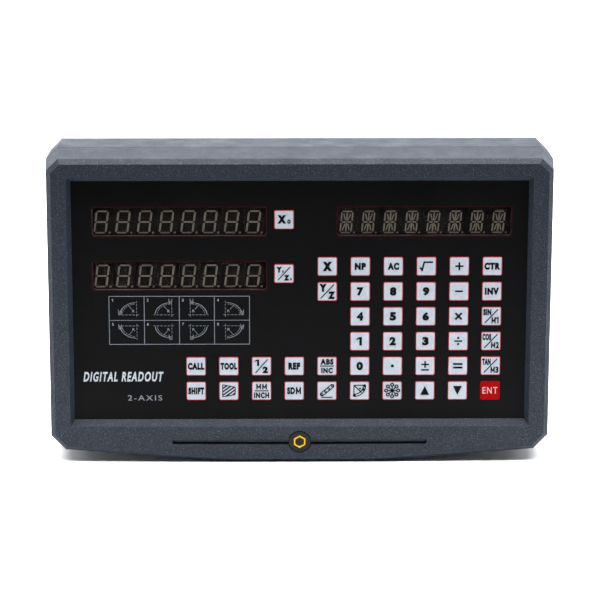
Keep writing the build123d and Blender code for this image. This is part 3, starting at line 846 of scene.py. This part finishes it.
chartLines, chartDrawings = bmesh.new(), bmesh.new()
cellWidth, cellHeight = chartStyle["cell"]
chartLeft, chartTop, chartLine = chartStyle["left"], chartStyle["top"], chartStyle["line"]
chartWidth, chartHeight = 4 * cellWidth, 2 * cellHeight
roundedFrame(
    chartLines, chartWidth + chartLine, chartHeight + chartLine, chartStyle["corner"], chartLine,
    (chartLeft + chartWidth / 2, chartTop - chartHeight / 2),
)
for column in (1, 2, 3):
    x = chartLeft + column * cellWidth
    bar(chartLines, (x, chartTop - chartHeight), (x, chartTop), chartLine, under)
middleZ = chartTop - cellHeight
bar(chartLines, (chartLeft, middleZ), (chartLeft + chartWidth, middleZ), chartLine * 0.8)
for index, (sideX, sideY, toolAtSide) in enumerate(chartStyle["cells"]):
    left = chartLeft + (index % 4) * cellWidth
    top = chartTop - (index // 4) * cellHeight
    arcCell(chartDrawings, index + 1, left, top, sideX, sideY, toolAtSide)
makePiece(
    "arcChart", [(tableInk, chartLines), (tableFineInk, chartDrawings)],
    standUp(0, filmFace, 0), "case",
)

wordsStyle = {
    "nameSize": (47.5, 6.1), "nameCentre": (-104.3, 52.3), "nameWeight": 0.03, "nameSlant": 0.25,
    "lineSize": (20.3, 3.3), "lineCentre": (-91.7, 39.0), "lineWeight": 0.0, "spacing": 1.25,
}
nameplate, underName = bmesh.new(), bmesh.new()
lettering(
    nameplate, "DIGITAL READOUT", *wordsStyle["nameSize"], wordsStyle["nameCentre"],
    wordsStyle["nameWeight"], wordsStyle["spacing"], wordsStyle["nameSlant"],
)
lettering(
    underName, "2-AXIS", *wordsStyle["lineSize"], wordsStyle["lineCentre"],
    wordsStyle["lineWeight"], wordsStyle["spacing"],
)
makePiece(
    "panelWords", [(whiteInk, nameplate), (tableFineInk, underName)],
    standUp(0, filmFace, 0), "case",
)

badgeStyle = {"radius": 3.9, "line": 0.8}
badgeLow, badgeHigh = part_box("chin_badge")
badgeCentre = (badgeLow + badgeHigh) / 2
badgeMark = bmesh.new()
hexagonFrame(badgeMark, badgeStyle["radius"], badgeStyle["line"])
makePiece(
    "badgeMark", [(yellowInk, badgeMark)],
    standUp(badgeCentre.x, badgeLow.y, badgeCentre.z), "case",
)
print("panel prints drawn")


# the connector bay in the back: its middle height and the depth of its floor
bay = {"middle": 43, "floor": 16.5}
socketStyle = {
    "places": {"X": 22, "Y": 78}, "shellFace": 22.5, "insulator": (15.4, 12.9, 7.0), "corner": 1.4,
    "proud": 0.05, "rows": ((5, 1.42), (4, -1.42)), "pitch": 2.77, "contact": 0.62, "contactLine": 0.26,
    "contactDepth": 0.1,
}


def scaleInsulator(name, x):
    # the black face of a nine-way socket, with the mouths of its contacts
    body, contacts = bmesh.new(), bmesh.new()
    wide, narrow, high = socketStyle["insulator"]
    plate(
        body,
        [(-wide / 2, high / 2), (-narrow / 2, -high / 2), (narrow / 2, -high / 2), (wide / 2, high / 2)],
        socketStyle["proud"],
    )
    corners = [edge for edge in body.edges if abs(edge.verts[0].co.z - edge.verts[1].co.z) > 0.01]
    bmesh.ops.bevel(
        body, geom=corners, offset=socketStyle["corner"], affect="EDGES", segments=4, profile=0.5,
        material=-1,
    )
    for count, rowY in socketStyle["rows"]:
        for index in range(count):
            place = ((index - (count - 1) / 2) * socketStyle["pitch"], rowY)
            arc(
                contacts, place, socketStyle["contact"], 0, 360, socketStyle["contactLine"],
                socketStyle["contactDepth"],
            )
    makePiece(
        name, [(finishes["inlet_plastic"], body), (brass, contacts)],
        faceBack(x * mm, socketStyle["shellFace"] * mm, bay["middle"] * mm), "case",
    )


for axisName, x in socketStyle["places"].items():
    scaleInsulator("socketInsulator" + axisName, x)

# three blades of the mains inlet, rounded at their tips
bladeStyle = {
    "places": ((-93.5, 41), (-79.5, 41), (-86.5, 45)), "size": (2.08, 4.08), "root": 3.7, "tip": 13.74,
    "round": 0.5,
}
blades = bmesh.new()
bladeDepth = bladeStyle["tip"] - bladeStyle["root"]
bladeMiddle = (bladeStyle["tip"] + bladeStyle["root"]) / 2
bladeWide, bladeHigh = bladeStyle["size"]
for x, z in bladeStyle["places"]:
    made = bmesh.ops.create_cube(blades, size=1)["verts"]
    stretch = Matrix.Diagonal((bladeWide, bladeDepth, bladeHigh, 1))
    placed(blades, made, Matrix.Translation((x, bladeMiddle, z)) @ stretch)
tipEdges = [
    edge for edge in blades.edges if all(abs(vert.co.y - bladeStyle["tip"]) < 0.01 for vert in edge.verts)
]
bmesh.ops.bevel(
    blades, geom=tipEdges, offset=bladeStyle["round"], affect="EDGES", segments=3, profile=0.5, material=-1
)
makePiece("inletBlades", [(finishes["socket_metal"], blades)], Matrix.Scale(mm, 4), "case")

markStyle = {"size": (3.2, 4.0), "above": 12.5, "weight": 0.02}
rearMarks = bmesh.new()
for axisName, x in socketStyle["places"].items():
    lettering(rearMarks, axisName, *markStyle["size"], (-x, markStyle["above"]), markStyle["weight"])
makePiece(
    "rearMarks", [(whiteInk, rearMarks)],
    faceBack(0, bay["floor"] * mm, bay["middle"] * mm), "case",
)

# the rocker at rest is tipped about its pivot, and each of its two halves rises outwards
rockerStyle = {
    "x": -63.8, "pivotY": 16.7, "tilt": 8, "rise": 2.0, "reach": 7.6, "markOut": 2.22, "markUp": 3.8,
    "line": 0.7, "barReach": 1.7, "ring": 1.5,
}


def rockerMark(name, sign, draw):
    # on the upper half with sign 1, on the lower with -1
    mark = bmesh.new()
    draw(mark)
    slope = Vector((0, rockerStyle["rise"] * sign, rockerStyle["reach"])).normalized()
    out = Vector((-1, 0, 0)).cross(slope)
    onFace = Matrix(((-1, 0, 0), (0, slope.y, out.y), (0, slope.z, out.z))).to_4x4()
    middle = Matrix.Translation((0, rockerStyle["markOut"], rockerStyle["markUp"] * sign))
    pivot = Matrix.Translation((rockerStyle["x"], rockerStyle["pivotY"], bay["middle"]))
    tip = Matrix.Rotation(radians(rockerStyle["tilt"]), 4, "X")
    place = Matrix.Scale(mm, 4) @ pivot @ tip @ middle @ onFace
    makePiece(name, [(whiteInk, mark)], place, "rocker")


def drawOn(bm):
    bar(bm, (0, -rockerStyle["barReach"]), (0, rockerStyle["barReach"]), rockerStyle["line"])


def drawOff(bm):
    arc(bm, (0, 0), rockerStyle["ring"], 0, 360, rockerStyle["line"])


rockerMark("rockerOnMark", 1, drawOn)
rockerMark("rockerOffMark", -1, drawOff)
print("back details made")


def studioFloor():
    # matt white paper roll, its near edge just out of the camera's view
    sheet = {"near": -0.3, "far": 8.0, "halfWidth": 6.0}
    material, tree, shader, place = newMaterial("whitePaperFloor", {"Roughness": 0.9})
    mottle(tree, shader, place, "#f4f4f4", "#f7f7f7", 0.5)
    bm = bmesh.new()
    made = bmesh.ops.create_grid(bm, x_segments=2, y_segments=2, size=1)["verts"]
    middle = Matrix.Translation((0, (sheet["near"] + sheet["far"]) / 2, 0))
    stretch = Matrix.Diagonal((sheet["halfWidth"], (sheet["far"] - sheet["near"]) / 2, 1, 1))
    placed(bm, made, middle @ stretch)
    mesh = bpy.data.meshes.new("studioFloor")
    bm.to_mesh(mesh)
    bm.free()
    mesh.materials.append(material)
    floor = bpy.data.objects.new("studioFloor", mesh)
    bpy.context.scene.collection.objects.link(floor)


# soft lamps, all aimed at the middle of the console
lampTarget = (0, 0, 0.1)
lights = {
    "overheadSoftbox": {"at": (0.0, -0.22, 1.5), "size": (2.4, 0.9), "power": 98, "colour": "#ffffff"},
    "frontSoftbox": {"at": (-0.5, -2.2, 1.0), "size": (1.8, 0.9), "power": 1.0, "colour": "#f4f8ff"},
}


def softbox(name, settings):
    lamp = bpy.data.lights.new(name, "AREA")
    lamp.shape = "RECTANGLE"
    lamp.size, lamp.size_y = settings["size"]
    lamp.energy = settings["power"]
    lamp.color = linear(settings["colour"])[:3]
    holder = bpy.data.objects.new(name, lamp)
    holder.location = settings["at"]
    toObject = Vector(lampTarget) - Vector(settings["at"])
    holder.rotation_euler = toObject.to_track_quat("-Z", "Y").to_euler()
    bpy.context.scene.collection.objects.link(holder)


worldLook = {
    "colour": "#f7f9fc", "front": 0.05, "behind": 3.1, "seen": 1.05, "turnFrom": -0.2, "turnTo": 0.5,
}


def studioWorld(look):
    # pale all round to the eye; as light it is bright behind the console and dim in front of it
    world = bpy.data.worlds.new("studioWorld")
    world.use_nodes = True
    tree = world.node_tree
    background = tree.nodes["Background"]
    background.inputs["Color"].default_value = linear(look["colour"])
    direction = addNode(tree, "ShaderNodeTexCoord").outputs["Generated"]
    parts = addNode(tree, "ShaderNodeSeparateXYZ", links={"Vector": direction})
    spread = addNode(
        tree, "ShaderNodeMapRange",
        values={
            "From Min": look["turnFrom"], "From Max": look["turnTo"],
            "To Min": look["front"], "To Max": look["behind"],
        },
        links={"Value": parts.outputs["Y"]},
    )
    seen = addNode(tree, "ShaderNodeLightPath").outputs["Is Camera Ray"]
    choice = addNode(tree, "ShaderNodeMix", settings={"data_type": "FLOAT"}, values={3: look["seen"]})
    tree.links.new(seen, choice.inputs[0])
    tree.links.new(spread.outputs["Result"], choice.inputs[2])
    tree.links.new(choice.outputs[0], background.inputs["Strength"])
    bpy.context.scene.world = world


# a long lens, a little above the console and almost square to it
cameraView = {
    "lens": 196.9, "sensor": 36, "distance": 1.9274, "pitch": 17.0, "yaw": 0.65, "roll": 0.083,
    "target": (0.0001, -0.0242, 0.1004), "farClip": 60,
}


def studioCamera(settings):
    camera = bpy.data.cameras.new("studioCamera")
    camera.lens = settings["lens"]
    camera.sensor_width = settings["sensor"]
    camera.clip_end = settings["farClip"]
    holder = bpy.data.objects.new("studioCamera", camera)
    turn = (
        Matrix.Rotation(-radians(settings["yaw"]), 4, "Z")
        @ Matrix.Rotation(-radians(settings["pitch"]), 4, "X")
        @ Matrix.Rotation(-radians(settings["roll"]), 4, "Y")
        @ Matrix.Rotation(pi / 2, 4, "X")
    )
    back = turn @ Vector((0, 0, settings["distance"]))
    holder.matrix_world = Matrix.Translation(Vector(settings["target"]) + back.to_3d()) @ turn
    bpy.context.scene.collection.objects.link(holder)
    bpy.context.scene.camera = holder


studioFloor()
for lightName, lightSettings in lights.items():
    softbox(lightName, lightSettings)
studioWorld(worldLook)
studioCamera(cameraView)
bpy.context.scene.view_settings.view_transform = "Standard"
print("studio ready")
